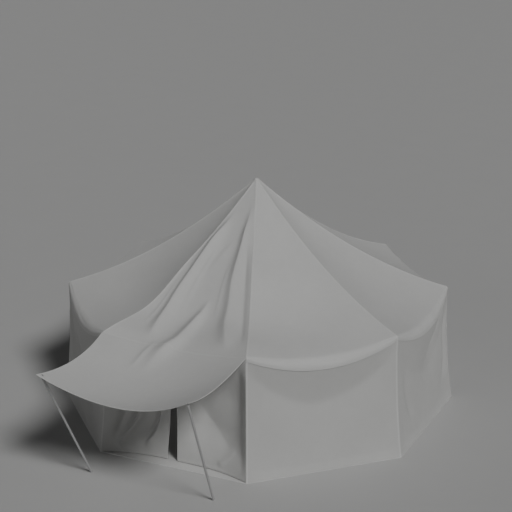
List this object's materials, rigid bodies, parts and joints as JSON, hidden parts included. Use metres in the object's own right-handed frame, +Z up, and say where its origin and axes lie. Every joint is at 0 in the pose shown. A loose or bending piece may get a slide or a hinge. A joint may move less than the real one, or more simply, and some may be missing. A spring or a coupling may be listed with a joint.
{
  "type": "octagonal canvas pavilion tent",
  "caption": "Octagonal canvas pavilion with one centre peak, sagging eaves, flared walls, a split cloth door and a front awning on leaning poles.",
  "frame": {"origin": "middle of the ground sheet's underside, on the ground", "axes": "+Z up, -Y out of the entrance under the awning, +X to the right of someone facing the entrance"},
  "size_m": [6.1808, 7.8524, 3.8539],
  "materials": {
    "canvas": "matt woven canvas, neutral grey",
    "ground_sheet": "coated fabric, neutral grey",
    "pole": "satin grey"
  },
  "bodies": {
    "root": {"ground_sheet": "ground_sheet", "centre_pole": "pole", "corner_pole_front_right": "pole", "corner_pole_right_front": "pole", "corner_pole_right_back": "pole", "corner_pole_back_right": "pole", "corner_pole_back_left": "pole", "corner_pole_left_back": "pole", "corner_pole_left_front": "pole", "corner_pole_front_left": "pole", "awning_pole_left": "pole", "awning_pole_right": "pole", "roof_front": "canvas", "roof_front_right": "canvas", "roof_right": "canvas", "roof_back_right": "canvas", "roof_back": "canvas", "roof_back_left": "canvas", "roof_left": "canvas", "roof_front_left": "canvas", "peak_cap": "canvas", "wall_front_right": "canvas", "wall_right": "canvas", "wall_back_right": "canvas", "wall_back": "canvas", "wall_back_left": "canvas", "wall_left": "canvas", "wall_front_left": "canvas", "door_flap_left": "canvas", "door_flap_right": "canvas", "awning": "canvas"}
  },
  "joints": []
}
